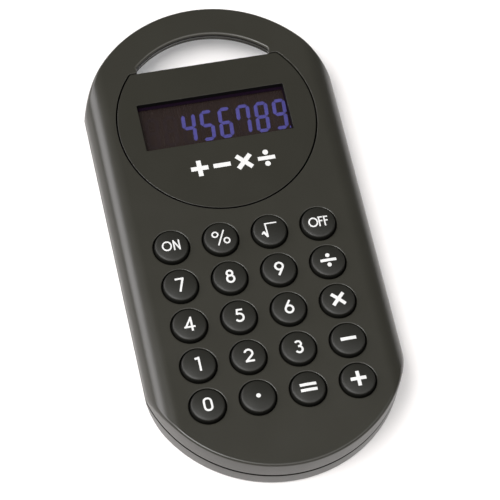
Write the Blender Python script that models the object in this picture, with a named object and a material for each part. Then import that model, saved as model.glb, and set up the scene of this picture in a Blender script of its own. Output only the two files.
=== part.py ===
"""Handheld desk calculator with a carrying handle, as an assembly of separate parts.

Frame: +Z is up out of the keypad, +Y points to the handle, and the origin is on the back face, under the middle of
the body. The calculator lies on its back. Every size below is in metres.
"""

import math

import bmesh
import bpy

MM = 0.001

# Body: a slab with rolled long sides, whose two ends are cut by upright round walls.
BODY_LENGTH = 118.6 * MM
BODY_HALF_WIDTH = 29.8 * MM
BODY_THICKNESS = 10.2 * MM
SEAM_HEIGHT = 4.3 * MM
HANDLE_END_RADIUS = 31.2 * MM
KEYPAD_END_RADIUS = 30.8 * MM
FRONT_ROLL = 5.8 * MM
REAR_ROLL = 4.3 * MM
WALL = 1.4 * MM
FRONT_PLATE = 1.5 * MM
SEAM_GAP = 0.1 * MM
REST_GAP = 0.1 * MM
FRONT_INNER_ROLL = 4.2 * MM
REAR_INNER_ROLL = 2.9 * MM
DEEP = 5 * MM

FRONT_FACE = BODY_THICKNESS
PLATE_UNDERSIDE = FRONT_FACE - FRONT_PLATE
HALF_LENGTH = BODY_LENGTH / 2

# Keypad: four columns and five rows of round keys.
KEY_PITCH_X = 11.5 * MM
KEY_PITCH_Y = 10.0 * MM
KEY_COLUMNS = 4
KEY_ROWS = 5
KEYPAD_CENTRE_Y = -22.05 * MM
KEY_HOLE_RADIUS = 4.32 * MM
KEY_RADIUS = 4.05 * MM
KEY_RIM_RADIUS = 3.7 * MM
KEY_RIM_RISE = 1.0 * MM
KEY_CROWN_RISE = 1.4 * MM
KEY_EDGE_RISE = 0.7 * MM
KEY_FLANGE_RADIUS = 4.7 * MM
KEY_FLANGE_LOW = 7.6 * MM
KEY_FLANGE_HIGH = 8.5 * MM
KEY_NAMES = (
    ("key_on", "key_percent", "key_root", "key_off"),
    ("key_7", "key_8", "key_9", "key_divide"),
    ("key_4", "key_5", "key_6", "key_multiply"),
    ("key_1", "key_2", "key_3", "key_minus"),
    ("key_0", "key_point", "key_equals", "key_plus"),
)

# Display panel: a round plate with its top cut straight, below the handle opening.
PANEL_CENTRE_Y = 29.0 * MM
OPENING_RADIUS = 23.65 * MM
PANEL_GAP = 0.28 * MM
PANEL_TOP_Y = 44.2 * MM
PANEL_FLANGE_RADIUS = 24.7 * MM
PANEL_FLANGE_INNER = 22.2 * MM
PANEL_FLANGE_LOW = 7.7 * MM
HANDLE_HALF_WIDTH = 16.5 * MM
HANDLE_SEAM = 8.3 * MM
HANDLE_WALL = 1.3 * MM
FLARE_TOP = 6.9 * MM
FLARE_RADIUS = 27.6 * MM
WINDOW_HALF_WIDTH = 17.5 * MM
WINDOW_LOW_Y = 23.5 * MM
WINDOW_HIGH_Y = 35.75 * MM

# Display: window, liquid crystal cell, its films and its ribbon.
LENS_MARGIN = 1.2 * MM
LENS_LOW = 7.75 * MM
GLASS_HALF_WIDTH = 19.4 * MM
GLASS_LOW_Y = 20.0 * MM
GLASS_HIGH_Y = 37.8 * MM
GLASS_LEDGE = 2.2 * MM
GLASS_LOW = 6.2 * MM
GLASS_SHEET = 0.55 * MM
FILM = 0.2 * MM
FRAME_RIB = 1.2 * MM

# Board and rubber mat.
BOARD_HALF_WIDTH = 21.0 * MM
BOARD_LOW_Y = -46.6 * MM
BOARD_HIGH_Y = 18.4 * MM
BOARD_LOW = 5.0 * MM
BOARD_THICKNESS = 0.8 * MM
BOARD_TOP = BOARD_LOW + BOARD_THICKNESS
BOARD_END_RADIUS = 28.4 * MM
MAT_HIGH_Y = 3.2 * MM
MAT_LOW = BOARD_TOP + REST_GAP
MAT_WEB = 0.8 * MM
DOME_TOP = KEY_FLANGE_LOW - REST_GAP
DOME_BASE_RADIUS = 3.4 * MM
DOME_TOP_RADIUS = 2.2 * MM
DOME_HOLLOW_RADIUS = 2.6 * MM
DOME_HOLLOW_TOP_RADIUS = 1.6 * MM
DOME_SKIN = 0.5 * MM

# Screws. Board screws hold the board to posts of the front casing, and casing screws come in from the back.
BOARD_SCREWS = [(x * MM, y * MM) for y in (-7.05, -37.05) for x in (-11.5, 11.5)]
POST_RADIUS = 1.75 * MM
POST_HOLE_RADIUS = 0.95 * MM
BOARD_HOLE_RADIUS = 1.1 * MM
BOARD_SHANK_RADIUS = 0.8 * MM
BOARD_HEAD_RADIUS = 1.6 * MM
BOARD_HEAD = 0.85 * MM
BOARD_SHANK_TOP = 8.0 * MM
CASING_SCREWS = [(x * MM, y * MM) for y in (3.0, -37.05) for x in (-24.0, 24.0)]
FRONT_BOSS_RADIUS = 2.3 * MM
REAR_BOSS_RADIUS = 2.6 * MM
CASING_SHANK_RADIUS = 0.85 * MM
CASING_HOLE_RADIUS = 1.05 * MM
CASING_HEAD_RADIUS = 1.75 * MM
CASING_HEAD_LOW = 0.35 * MM
CASING_HEAD_HIGH = 1.55 * MM
COUNTERBORE_RADIUS = 2.0 * MM
COUNTERBORE_TOP = 1.65 * MM
CASING_SHANK_TOP = 7.6 * MM

# Battery compartment in the back, with a door that swings on two tabs.
WELL_HALF_WIDTH = 6.6 * MM
WELL_LOW_Y = 3.6 * MM
WELL_HIGH_Y = 22.6 * MM
WELL_WALL = 1.2 * MM
WELL_TOP = 4.5 * MM
PAD_MARGIN = 1.2 * MM
PAD_TOP = 2.2 * MM
DOOR_HALF_WIDTH = 8.5 * MM
DOOR_LOW_Y = 2.2 * MM
DOOR_HIGH_Y = 20.0 * MM
DOOR_GAP = 0.25 * MM
DOOR_UNDERSIDE = 0.15 * MM
DOOR_TOP = 1.0 * MM
DOOR_TAB_XS = (-4.0 * MM, 4.0 * MM)
DOOR_TAB_HALF_WIDTH = 1.5 * MM
DOOR_TAB_ROOT = 1.4 * MM
DOOR_TAB_REACH = 2.0 * MM
DOOR_TAB_LOW = 1.6 * MM
DOOR_TAB_HIGH = 2.1 * MM
CELL_RADIUS = 5.8 * MM
CELL_CAP_RADIUS = 4.7 * MM
CELL_CENTRE_Y = 10.2 * MM
CELL_LOW = 1.3 * MM
CELL_HIGH = 4.35 * MM
CELL_CAP_HEIGHT = 0.5 * MM
CONTACT_SHEET = 0.25 * MM

# Facets of the round parts.
HOLE_STEPS = 20
KEY_STEPS = 16
SMALL_STEPS = 12
PANEL_STEPS = 60
ROLL_STEPS = 6
FLAT_STATIONS = 14

MATERIALS = {
    "casing": ((0.050, 0.048, 0.041), 0.45, 0.0),
    "panel": ((0.040, 0.039, 0.031), 0.45, 0.0),
    "keys": ((0.022, 0.022, 0.020), 0.35, 0.0),
    "window": ((0.030, 0.020, 0.028), 0.10, 0.0),
    "display": ((0.026, 0.014, 0.020), 0.15, 0.0),
    "film": ((0.30, 0.30, 0.32), 0.40, 0.0),
    "ribbon": ((0.45, 0.30, 0.12), 0.50, 0.0),
    "board": ((0.02, 0.16, 0.06), 0.50, 0.0),
    "rubber": ((0.35, 0.35, 0.36), 0.80, 0.0),
    "epoxy": ((0.01, 0.01, 0.01), 0.30, 0.0),
    "ceramic": ((0.45, 0.36, 0.25), 0.50, 0.0),
    "steel": ((0.55, 0.55, 0.56), 0.30, 1.0),
    "contact": ((0.75, 0.60, 0.30), 0.30, 1.0),
}


def clear_scene():
    for obj in list(bpy.data.objects):
        bpy.data.objects.remove(obj)


def material(name):
    """The named material, made on first use."""
    found = bpy.data.materials.get(name)
    if found:
        return found
    colour, roughness, metallic = MATERIALS[name]
    made = bpy.data.materials.new(name)
    made.use_nodes = True
    shader = made.node_tree.nodes["Principled BSDF"]
    shader.inputs["Base Color"].default_value = (*colour, 1)
    shader.inputs["Roughness"].default_value = roughness
    shader.inputs["Metallic"].default_value = metallic
    return made


def ring(bm, radius, height, centre, steps):
    """A circle of points, or a single point on the axis."""
    if radius == 0:
        return [bm.verts.new((centre[0], centre[1], height))]
    turns = [2 * math.pi * i / steps for i in range(steps)]
    return [
        bm.verts.new((centre[0] + radius * math.cos(a), centre[1] + radius * math.sin(a), height))
        for a in turns
    ]


def join_rings(bm, low, high):
    """Faces between two rings, either of which may be a single point."""
    steps = max(len(low), len(high))
    for i in range(steps):
        a, b = low[i % len(low)], low[(i + 1) % len(low)]
        c, d = high[(i + 1) % len(high)], high[i % len(high)]
        corners = list(dict.fromkeys((a, b, c, d)))
        bm.faces.new(corners)


def add_turned(bm, profile, centre=(0, 0), steps=HOLE_STEPS):
    """A solid turned about an upright axis. The profile runs up its outside, from axis to axis or round a ring."""
    rings = [ring(bm, radius, height, centre, steps) for radius, height in profile]
    pairs = list(zip(rings, rings[1:]))
    if profile[0][0] > 0:
        pairs.append((rings[-1], rings[0]))
    for low, high in pairs:
        join_rings(bm, low, high)


def add_cylinder(bm, radius, low, high, centre=(0, 0), steps=HOLE_STEPS):
    add_turned(bm, [(0, low), (radius, low), (radius, high), (0, high)], centre, steps)


def add_prism(bm, outline, low, high):
    """An upright prism over an outline given anticlockwise."""
    bottom = [bm.verts.new((x, y, low)) for x, y in outline]
    top = [bm.verts.new((x, y, high)) for x, y in outline]
    bm.faces.new(bottom[::-1])
    bm.faces.new(top)
    join_rings(bm, bottom, top)


def add_box(bm, xs, ys, zs):
    add_prism(bm, [(xs[0], ys[0]), (xs[1], ys[0]), (xs[1], ys[1]), (xs[0], ys[1])], *zs)


def add_strip(bm, side, half_width, centre_x=0.0):
    """A bent strip: a side outline in Y and Z, extruded along X."""
    left = [bm.verts.new((centre_x - half_width, y, z)) for y, z in side]
    right = [bm.verts.new((centre_x + half_width, y, z)) for y, z in side]
    bm.faces.new(left)
    bm.faces.new(right[::-1])
    join_rings(bm, left, right)


def add_loft(bm, stations):
    """A solid through rectangles at rising X. A station is (x, (low y, high y), (low z, high z))."""
    loops = [
        [bm.verts.new((x, y, z)) for y, z in ((ys[0], zs[0]), (ys[1], zs[0]), (ys[1], zs[1]), (ys[0], zs[1]))]
        for x, ys, zs in stations
    ]
    for low, high in zip(loops, loops[1:]):
        join_rings(bm, low, high)
    bm.faces.new(loops[0])
    bm.faces.new(loops[-1])
    bmesh.ops.remove_doubles(bm, verts=bm.verts, dist=1e-7)
    bmesh.ops.dissolve_degenerate(bm, dist=1e-7, edges=bm.edges)


def make(name, bm, material_name=None, smooth=False):
    """An object from a bmesh. With no material it is a hidden cutter or joiner."""
    bmesh.ops.recalc_face_normals(bm, faces=bm.faces)
    mesh = bpy.data.meshes.new(name)
    bm.to_mesh(mesh)
    bm.free()
    obj = bpy.data.objects.new(name, mesh)
    bpy.context.scene.collection.objects.link(obj)
    if material_name:
        mesh.materials.append(material(material_name))
    else:
        obj.hide_render = True
        obj.display_type = "WIRE"
    if smooth:
        mesh.shade_smooth()
        mesh.set_sharp_from_angle(angle=math.radians(35))
    return obj


def combine(obj, operation, bm, name):
    """Adds a Boolean of this shape to the object."""
    modifier = obj.modifiers.new(name, "BOOLEAN")
    modifier.operation = operation
    modifier.solver = "EXACT"
    modifier.object = make(f"{obj.name}_{name}", bm)


def rise(x, flat_half_width, roll, height):
    """Height of a rolled section above its widest line, at this x."""
    over = min(max(abs(x) - flat_half_width, 0) / roll, 1)
    return height * math.sqrt(1 - over * over)


def station_xs(half_width, roll):
    """Where the body's section is taken: evenly over the flat, and closer together round the rolls."""
    flat = half_width - roll
    side = [flat + roll * math.sin(math.pi / 2 * i / ROLL_STEPS) for i in range(1, ROLL_STEPS + 1)]
    middle = [flat * (2 * i / FLAT_STATIONS - 1) for i in range(FLAT_STATIONS + 1)]
    return [-x for x in reversed(side)] + middle + side


def end_ys(x, inset=0.0):
    """Where the two round end walls stand at this x."""
    keypad_end = KEYPAD_END_RADIUS - HALF_LENGTH - math.sqrt((KEYPAD_END_RADIUS - inset) ** 2 - x * x)
    handle_end = HALF_LENGTH - HANDLE_END_RADIUS + math.sqrt((HANDLE_END_RADIUS - inset) ** 2 - x * x)
    return keypad_end, handle_end


def add_front_form(bm, half_width, roll, inset, low, high):
    """The front half's solid form, or its cavity when it is inset."""
    seam = SEAM_HEIGHT + SEAM_GAP
    stations = [
        (x, end_ys(x, inset), (low, seam + rise(x, half_width - roll, roll, high - seam)))
        for x in station_xs(half_width, roll)
    ]
    add_loft(bm, stations)


def add_rear_form(bm, half_width, roll, inset, low, high):
    stations = [
        (x, end_ys(x, inset), (SEAM_HEIGHT - rise(x, half_width - roll, roll, SEAM_HEIGHT - low), high))
        for x in station_xs(half_width, roll)
    ]
    add_loft(bm, stations)


def key_centre(row, column):
    x = (column - (KEY_COLUMNS - 1) / 2) * KEY_PITCH_X
    y = KEYPAD_CENTRE_Y + ((KEY_ROWS - 1) / 2 - row) * KEY_PITCH_Y
    return x, y


def key_centres():
    return [key_centre(row, column) for row in range(KEY_ROWS) for column in range(KEY_COLUMNS)]


def cut_disc(radius, low_y=None, high_y=None, half_width=None):
    """Outline of a disc about the panel's centre, cut straight at low_y or high_y and at both sides."""
    points = []
    for i in range(PANEL_STEPS):
        angle = 2 * math.pi * (i + 0.5) / PANEL_STEPS
        points.append((radius * math.cos(angle), PANEL_CENTRE_Y + radius * math.sin(angle)))
    if high_y is not None:
        points = clipped(points, (0, 1), high_y)
    if low_y is not None:
        points = clipped(points, (0, -1), -low_y)
    if half_width is not None:
        points = clipped(clipped(points, (1, 0), half_width), (-1, 0), half_width)
    return points


def clipped(points, normal, limit):
    """The part of a convex outline whose distance along normal is at most limit."""
    kept = []
    for (ax, ay), (bx, by) in zip(points, points[1:] + points[:1]):
        a = ax * normal[0] + ay * normal[1] - limit
        b = bx * normal[0] + by * normal[1] - limit
        if a <= 0:
            kept.append((ax, ay))
        if a * b < 0:
            share = a / (a - b)
            kept.append((ax + share * (bx - ax), ay + share * (by - ay)))
    return kept


def handle_outline(grow=0.0):
    """The handle opening: the disc's segment above the panel, squared off at both corners."""
    return cut_disc(OPENING_RADIUS + grow, PANEL_TOP_Y - grow, None, HANDLE_HALF_WIDTH + grow)


def make_front_casing():
    bm = bmesh.new()
    add_front_form(bm, BODY_HALF_WIDTH, FRONT_ROLL, 0, SEAM_HEIGHT + SEAM_GAP, FRONT_FACE)
    casing = make("front_casing", bm, "casing", smooth=True)

    bm = bmesh.new()
    low = SEAM_HEIGHT - DEEP
    add_front_form(bm, BODY_HALF_WIDTH - WALL, FRONT_INNER_ROLL, WALL, low, PLATE_UNDERSIDE)
    combine(casing, "DIFFERENCE", bm, "cavity")

    into_plate = PLATE_UNDERSIDE + FRONT_PLATE / 4
    bm = bmesh.new()
    for centre in BOARD_SCREWS:
        add_cylinder(bm, POST_RADIUS, BOARD_TOP + REST_GAP, into_plate, centre, SMALL_STEPS)
    for centre in CASING_SCREWS:
        add_cylinder(bm, FRONT_BOSS_RADIUS, SEAM_HEIGHT + SEAM_GAP, into_plate, centre, SMALL_STEPS)
    lip = clipped(handle_outline(HANDLE_WALL), (0, -1), -(PANEL_TOP_Y + PANEL_GAP))
    add_prism(bm, lip, HANDLE_SEAM, into_plate)
    combine(casing, "UNION", bm, "bosses")

    bm = bmesh.new()
    for centre in key_centres():
        add_cylinder(bm, KEY_HOLE_RADIUS, PLATE_UNDERSIDE - MM, FRONT_FACE + MM, centre)
    for centre in BOARD_SCREWS:
        add_cylinder(bm, POST_HOLE_RADIUS, BOARD_TOP - MM, BOARD_SHANK_TOP + REST_GAP, centre, SMALL_STEPS)
    for centre in CASING_SCREWS:
        add_cylinder(bm, CASING_HOLE_RADIUS, SEAM_HEIGHT - MM, CASING_SHANK_TOP + REST_GAP, centre, SMALL_STEPS)
    combine(casing, "DIFFERENCE", bm, "holes")

    bm = bmesh.new()
    add_prism(bm, cut_disc(OPENING_RADIUS, None, PANEL_TOP_Y + PANEL_GAP), HANDLE_SEAM - MM, FRONT_FACE + MM)
    combine(casing, "DIFFERENCE", bm, "panel_opening")
    bm = bmesh.new()
    add_prism(bm, handle_outline(), HANDLE_SEAM - MM, FRONT_FACE + MM)
    combine(casing, "DIFFERENCE", bm, "handle_opening")


def add_flare(bm, grow):
    """The handle opening through the rear casing, which flares towards the back, and grown, its wall."""
    slope = (FLARE_RADIUS - OPENING_RADIUS) / FLARE_TOP
    low = SEAM_HEIGHT / 6 if grow else -MM
    high = HANDLE_SEAM - SEAM_GAP if grow else HANDLE_SEAM + MM
    wide = OPENING_RADIUS + grow + slope * (FLARE_TOP - low)
    narrow = OPENING_RADIUS + grow
    centre = (0, PANEL_CENTRE_Y)
    add_turned(bm, [(0, low), (wide, low), (narrow, FLARE_TOP), (narrow, high), (0, high)], centre, PANEL_STEPS)
    return low, high


def flare_object(name, grow):
    """The flare, cut to the opening's straight sides."""
    bm = bmesh.new()
    low, high = add_flare(bm, grow)
    flare = make(name, bm)
    bm = bmesh.new()
    side = HANDLE_HALF_WIDTH + grow
    add_box(bm, (-side, side), (PANEL_TOP_Y - grow, HALF_LENGTH + DEEP), (low - MM, high + MM))
    combine(flare, "INTERSECT", bm, "sides")
    return flare


def make_rear_casing():
    bm = bmesh.new()
    add_rear_form(bm, BODY_HALF_WIDTH, REAR_ROLL, 0, 0, SEAM_HEIGHT)
    casing = make("rear_casing", bm, "casing", smooth=True)

    bm = bmesh.new()
    add_rear_form(bm, BODY_HALF_WIDTH - WALL, REAR_INNER_ROLL, WALL, WALL, SEAM_HEIGHT + DEEP)
    combine(casing, "DIFFERENCE", bm, "cavity")

    wall = casing.modifiers.new("handle_wall", "BOOLEAN")
    wall.operation = "UNION"
    wall.object = flare_object("rear_handle_wall", HANDLE_WALL)

    bm = bmesh.new()
    for centre in CASING_SCREWS:
        add_cylinder(bm, REAR_BOSS_RADIUS, WALL / 2, SEAM_HEIGHT, centre, SMALL_STEPS)
    pad = DOOR_HALF_WIDTH + DOOR_GAP + PAD_MARGIN
    add_box(bm, (-pad, pad), (DOOR_LOW_Y - DOOR_GAP - PAD_MARGIN, DOOR_HIGH_Y + DOOR_GAP), (WALL / 2, PAD_TOP))
    combine(casing, "UNION", bm, "pads")
    bm = bmesh.new()
    outer = WELL_HALF_WIDTH + WELL_WALL
    add_box(bm, (-outer, outer), (WELL_LOW_Y - WELL_WALL, WELL_HIGH_Y + WELL_WALL), (WALL / 2, WELL_TOP))
    combine(casing, "UNION", bm, "well_block")

    hole = casing.modifiers.new("handle_opening", "BOOLEAN")
    hole.operation = "DIFFERENCE"
    hole.object = flare_object("rear_handle_opening", 0.0)

    bm = bmesh.new()
    for centre in CASING_SCREWS:
        profile = [
            (0, -MM),
            (COUNTERBORE_RADIUS, -MM),
            (COUNTERBORE_RADIUS, COUNTERBORE_TOP),
            (CASING_HOLE_RADIUS, COUNTERBORE_TOP),
            (CASING_HOLE_RADIUS, SEAM_HEIGHT + MM),
            (0, SEAM_HEIGHT + MM),
        ]
        add_turned(bm, profile, centre, SMALL_STEPS)
    combine(casing, "DIFFERENCE", bm, "screw_holes")

    # The well is open inside, its floor is the door's ledge, and the skin under the tabs stays.
    bm = bmesh.new()
    add_box(bm, (-WELL_HALF_WIDTH, WELL_HALF_WIDTH), (WELL_LOW_Y, WELL_HIGH_Y), (WALL, WELL_TOP + MM))
    combine(casing, "DIFFERENCE", bm, "well")
    bm = bmesh.new()
    add_box(bm, (-WELL_HALF_WIDTH, WELL_HALF_WIDTH), (WELL_LOW_Y, DOOR_HIGH_Y + DOOR_GAP), (-MM, WALL + MM / 2))
    combine(casing, "DIFFERENCE", bm, "door_way")
    bm = bmesh.new()
    side = DOOR_HALF_WIDTH + DOOR_GAP
    add_box(bm, (-side, side), (DOOR_LOW_Y - DOOR_GAP, DOOR_HIGH_Y + DOOR_GAP), (-MM, DOOR_TOP + REST_GAP))
    combine(casing, "DIFFERENCE", bm, "door_recess")


def make_battery_door():
    bm = bmesh.new()
    add_box(bm, (-DOOR_HALF_WIDTH, DOOR_HALF_WIDTH), (DOOR_LOW_Y, DOOR_HIGH_Y), (DOOR_UNDERSIDE, DOOR_TOP))
    door = make("battery_door", bm, "casing")
    bm = bmesh.new()
    root = DOOR_HIGH_Y - DOOR_TAB_ROOT
    tip = DOOR_HIGH_Y + DOOR_TAB_REACH
    into_door = (DOOR_UNDERSIDE + DOOR_TOP) / 2
    side = [
        (root, into_door),
        (DOOR_HIGH_Y, into_door),
        (DOOR_HIGH_Y, DOOR_TAB_LOW),
        (tip, DOOR_TAB_LOW),
        (tip, DOOR_TAB_HIGH),
        (root, DOOR_TAB_HIGH),
    ]
    for x in DOOR_TAB_XS:
        add_strip(bm, side, DOOR_TAB_HALF_WIDTH, x)
    combine(door, "UNION", bm, "tabs")


def make_panel():
    # A plate with a flange round its underside, hollowed from behind, then cut straight at the handle.
    neck_low = (PANEL_FLANGE_LOW + PLATE_UNDERSIDE) / 2
    disc_high_y = PANEL_TOP_Y + MM
    bm = bmesh.new()
    add_prism(bm, cut_disc(OPENING_RADIUS - PANEL_GAP, None, disc_high_y), neck_low, FRONT_FACE)
    panel = make("display_panel", bm, "panel")
    bm = bmesh.new()
    flange = cut_disc(PANEL_FLANGE_RADIUS, None, disc_high_y + MM)
    add_prism(bm, flange, PANEL_FLANGE_LOW, PLATE_UNDERSIDE - REST_GAP)
    combine(panel, "UNION", bm, "flange")
    bm = bmesh.new()
    inner = cut_disc(PANEL_FLANGE_INNER, None, PANEL_TOP_Y - FRAME_RIB)
    add_prism(bm, inner, PANEL_FLANGE_LOW - MM, PLATE_UNDERSIDE)
    combine(panel, "DIFFERENCE", bm, "hollow")
    bm = bmesh.new()
    add_box(bm, (-HALF_LENGTH, HALF_LENGTH), (PANEL_TOP_Y, HALF_LENGTH), (0, 2 * FRONT_FACE))
    combine(panel, "DIFFERENCE", bm, "straight_edge")

    bm = bmesh.new()
    wall_low_y = PANEL_TOP_Y - HANDLE_WALL - PANEL_GAP
    add_box(bm, (-HALF_LENGTH, HALF_LENGTH), (wall_low_y, HALF_LENGTH), (0, HANDLE_SEAM))
    combine(panel, "DIFFERENCE", bm, "handle_wall")

    # A rib round three sides of the glass.
    x_in = GLASS_HALF_WIDTH + DOOR_GAP
    x_out = x_in + FRAME_RIB
    y_low = GLASS_LOW_Y + GLASS_LEDGE
    y_in = GLASS_HIGH_Y + DOOR_GAP
    y_out = y_in + FRAME_RIB
    rib = [(x_in, y_low), (x_out, y_low), (x_out, y_out), (-x_out, y_out)]
    rib += [(-x_out, y_low), (-x_in, y_low), (-x_in, y_in), (x_in, y_in)]
    bm = bmesh.new()
    add_prism(bm, rib, GLASS_LOW, PLATE_UNDERSIDE + FRONT_PLATE / 4)
    combine(panel, "UNION", bm, "rib")

    bm = bmesh.new()
    xs = (-WINDOW_HALF_WIDTH, WINDOW_HALF_WIDTH)
    add_box(bm, xs, (WINDOW_LOW_Y, WINDOW_HIGH_Y), (PLATE_UNDERSIDE - MM, FRONT_FACE + MM))
    combine(panel, "DIFFERENCE", bm, "window")


def make_display():
    bm = bmesh.new()
    half = WINDOW_HALF_WIDTH + LENS_MARGIN
    ys = (WINDOW_LOW_Y - LENS_MARGIN, WINDOW_HIGH_Y + LENS_MARGIN)
    add_box(bm, (-half, half), ys, (LENS_LOW, PLATE_UNDERSIDE - REST_GAP))
    make("display_window", bm, "window")

    # Two sheets of glass: the rear one is longer, and its bare ledge carries the contacts.
    front_low = GLASS_LOW + GLASS_SHEET
    front_high = front_low + GLASS_SHEET
    side = [
        (GLASS_LOW_Y, GLASS_LOW),
        (GLASS_HIGH_Y, GLASS_LOW),
        (GLASS_HIGH_Y, front_high),
        (GLASS_LOW_Y + GLASS_LEDGE, front_high),
        (GLASS_LOW_Y + GLASS_LEDGE, front_low),
        (GLASS_LOW_Y, front_low),
    ]
    bm = bmesh.new()
    add_strip(bm, side, GLASS_HALF_WIDTH)
    make("lcd_glass", bm, "display")

    film_half = GLASS_HALF_WIDTH - MM
    film_ys = (GLASS_LOW_Y + GLASS_LEDGE + MM / 2, GLASS_HIGH_Y - MM / 2)
    bm = bmesh.new()
    add_box(bm, (-film_half, film_half), film_ys, (front_high + REST_GAP, front_high + REST_GAP + FILM))
    make("lcd_polariser", bm, "film")
    bm = bmesh.new()
    add_box(bm, (-film_half, film_half), film_ys, (GLASS_LOW - REST_GAP - FILM, GLASS_LOW - REST_GAP))
    make("lcd_reflector", bm, "film")

    # The ribbon lies on the board, climbs and lies on the ledge.
    low = BOARD_TOP + REST_GAP
    high = front_low + REST_GAP
    board_end, climb_start = BOARD_HIGH_Y - 4 * MM, BOARD_HIGH_Y - MM
    ledge_end = GLASS_LOW_Y + GLASS_LEDGE - 2 * DOOR_GAP
    ledge_start = GLASS_LOW_Y - DOOR_GAP
    side = [
        (board_end, low),
        (climb_start, low),
        (ledge_start, high),
        (ledge_end, high),
        (ledge_end, high + FILM),
        (ledge_start, high + FILM),
        (climb_start, low + FILM),
        (board_end, low + FILM),
    ]
    bm = bmesh.new()
    add_strip(bm, side, GLASS_HALF_WIDTH - 3 * MM)
    make("lcd_ribbon", bm, "ribbon")


def board_outline(high_y):
    """A rectangle whose lower end follows the body's round end."""
    centre_y = KEYPAD_END_RADIUS - HALF_LENGTH
    start = math.asin(BOARD_HALF_WIDTH / BOARD_END_RADIUS)
    arc = []
    for i in range(PANEL_STEPS // 4 + 1):
        angle = -start + 2 * start * i / (PANEL_STEPS // 4)
        arc.append((BOARD_END_RADIUS * math.sin(angle), centre_y - BOARD_END_RADIUS * math.cos(angle)))
    outline = [*arc, (BOARD_HALF_WIDTH, high_y), (-BOARD_HALF_WIDTH, high_y)]
    return clipped(outline, (0, -1), -BOARD_LOW_Y)


def make_board():
    bm = bmesh.new()
    add_prism(bm, board_outline(BOARD_HIGH_Y), BOARD_LOW, BOARD_TOP)
    board = make("circuit_board", bm, "board")
    bm = bmesh.new()
    for centre in BOARD_SCREWS:
        add_cylinder(bm, BOARD_HOLE_RADIUS, BOARD_LOW - MM, BOARD_TOP + MM, centre, SMALL_STEPS)
    combine(board, "DIFFERENCE", bm, "screw_holes")

    bm = bmesh.new()
    top = BOARD_LOW - REST_GAP
    profile = [(0, top - 0.9 * MM), (2.2 * MM, top - 0.75 * MM), (3.5 * MM, top - 0.35 * MM), (4 * MM, top), (0, top)]
    add_turned(bm, profile, (-14.2 * MM, 11 * MM), HOLE_STEPS)
    make("chip_cover", bm, "epoxy", smooth=True)
    bm = bmesh.new()
    add_box(bm, (12.5 * MM, 15.7 * MM), (6.2 * MM, 7.8 * MM), (top - MM, top))
    make("supply_capacitor", bm, "ceramic")
    bm = bmesh.new()
    add_box(bm, (12.5 * MM, 14.5 * MM), (12.0 * MM, 13.25 * MM), (top - MM / 2, top))
    make("clock_resistor", bm, "epoxy")


def make_mat():
    web_top = MAT_LOW + MAT_WEB
    bm = bmesh.new()
    add_prism(bm, board_outline(MAT_HIGH_Y), MAT_LOW, web_top)
    mat = make("keypad_mat", bm, "rubber")
    bm = bmesh.new()
    for centre in key_centres():
        low = web_top - MAT_WEB / 2
        profile = [(0, low), (DOME_BASE_RADIUS, low), (DOME_BASE_RADIUS, web_top)]
        profile += [(DOME_TOP_RADIUS, DOME_TOP), (0, DOME_TOP)]
        add_turned(bm, profile, centre, SMALL_STEPS)
    combine(mat, "UNION", bm, "domes")
    bm = bmesh.new()
    for centre in key_centres():
        profile = [(0, MAT_LOW - MM), (DOME_HOLLOW_RADIUS, MAT_LOW - MM), (DOME_HOLLOW_RADIUS, MAT_LOW + MAT_WEB / 2)]
        profile += [(DOME_HOLLOW_TOP_RADIUS, DOME_TOP - DOME_SKIN), (0, DOME_TOP - DOME_SKIN)]
        add_turned(bm, profile, centre, SMALL_STEPS)
    for centre in BOARD_SCREWS:
        add_cylinder(bm, POST_RADIUS + DOOR_GAP, MAT_LOW - MM, DOME_TOP + MM, centre, SMALL_STEPS)
    combine(mat, "DIFFERENCE", bm, "hollows")


def make_keys():
    """Round keys, all alike: a retaining flange under the plate and a crowned cap above it."""
    profile = [
        (0, KEY_FLANGE_LOW),
        (KEY_FLANGE_RADIUS, KEY_FLANGE_LOW),
        (KEY_FLANGE_RADIUS, KEY_FLANGE_HIGH),
        (KEY_RADIUS, KEY_FLANGE_HIGH),
        (KEY_RADIUS, FRONT_FACE + KEY_EDGE_RISE),
        (KEY_RIM_RADIUS, FRONT_FACE + KEY_RIM_RISE),
        (0, FRONT_FACE + KEY_CROWN_RISE),
    ]
    bm = bmesh.new()
    add_turned(bm, [(radius, height - KEY_FLANGE_LOW) for radius, height in profile], (0, 0), KEY_STEPS)
    first = make(KEY_NAMES[0][0], bm, "keys", smooth=True)
    for row, names in enumerate(KEY_NAMES):
        for column, name in enumerate(names):
            key = bpy.data.objects.get(name)
            if key is None:
                key = bpy.data.objects.new(name, first.data)
                bpy.context.scene.collection.objects.link(key)
            key.location = (*key_centre(row, column), KEY_FLANGE_LOW)


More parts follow.
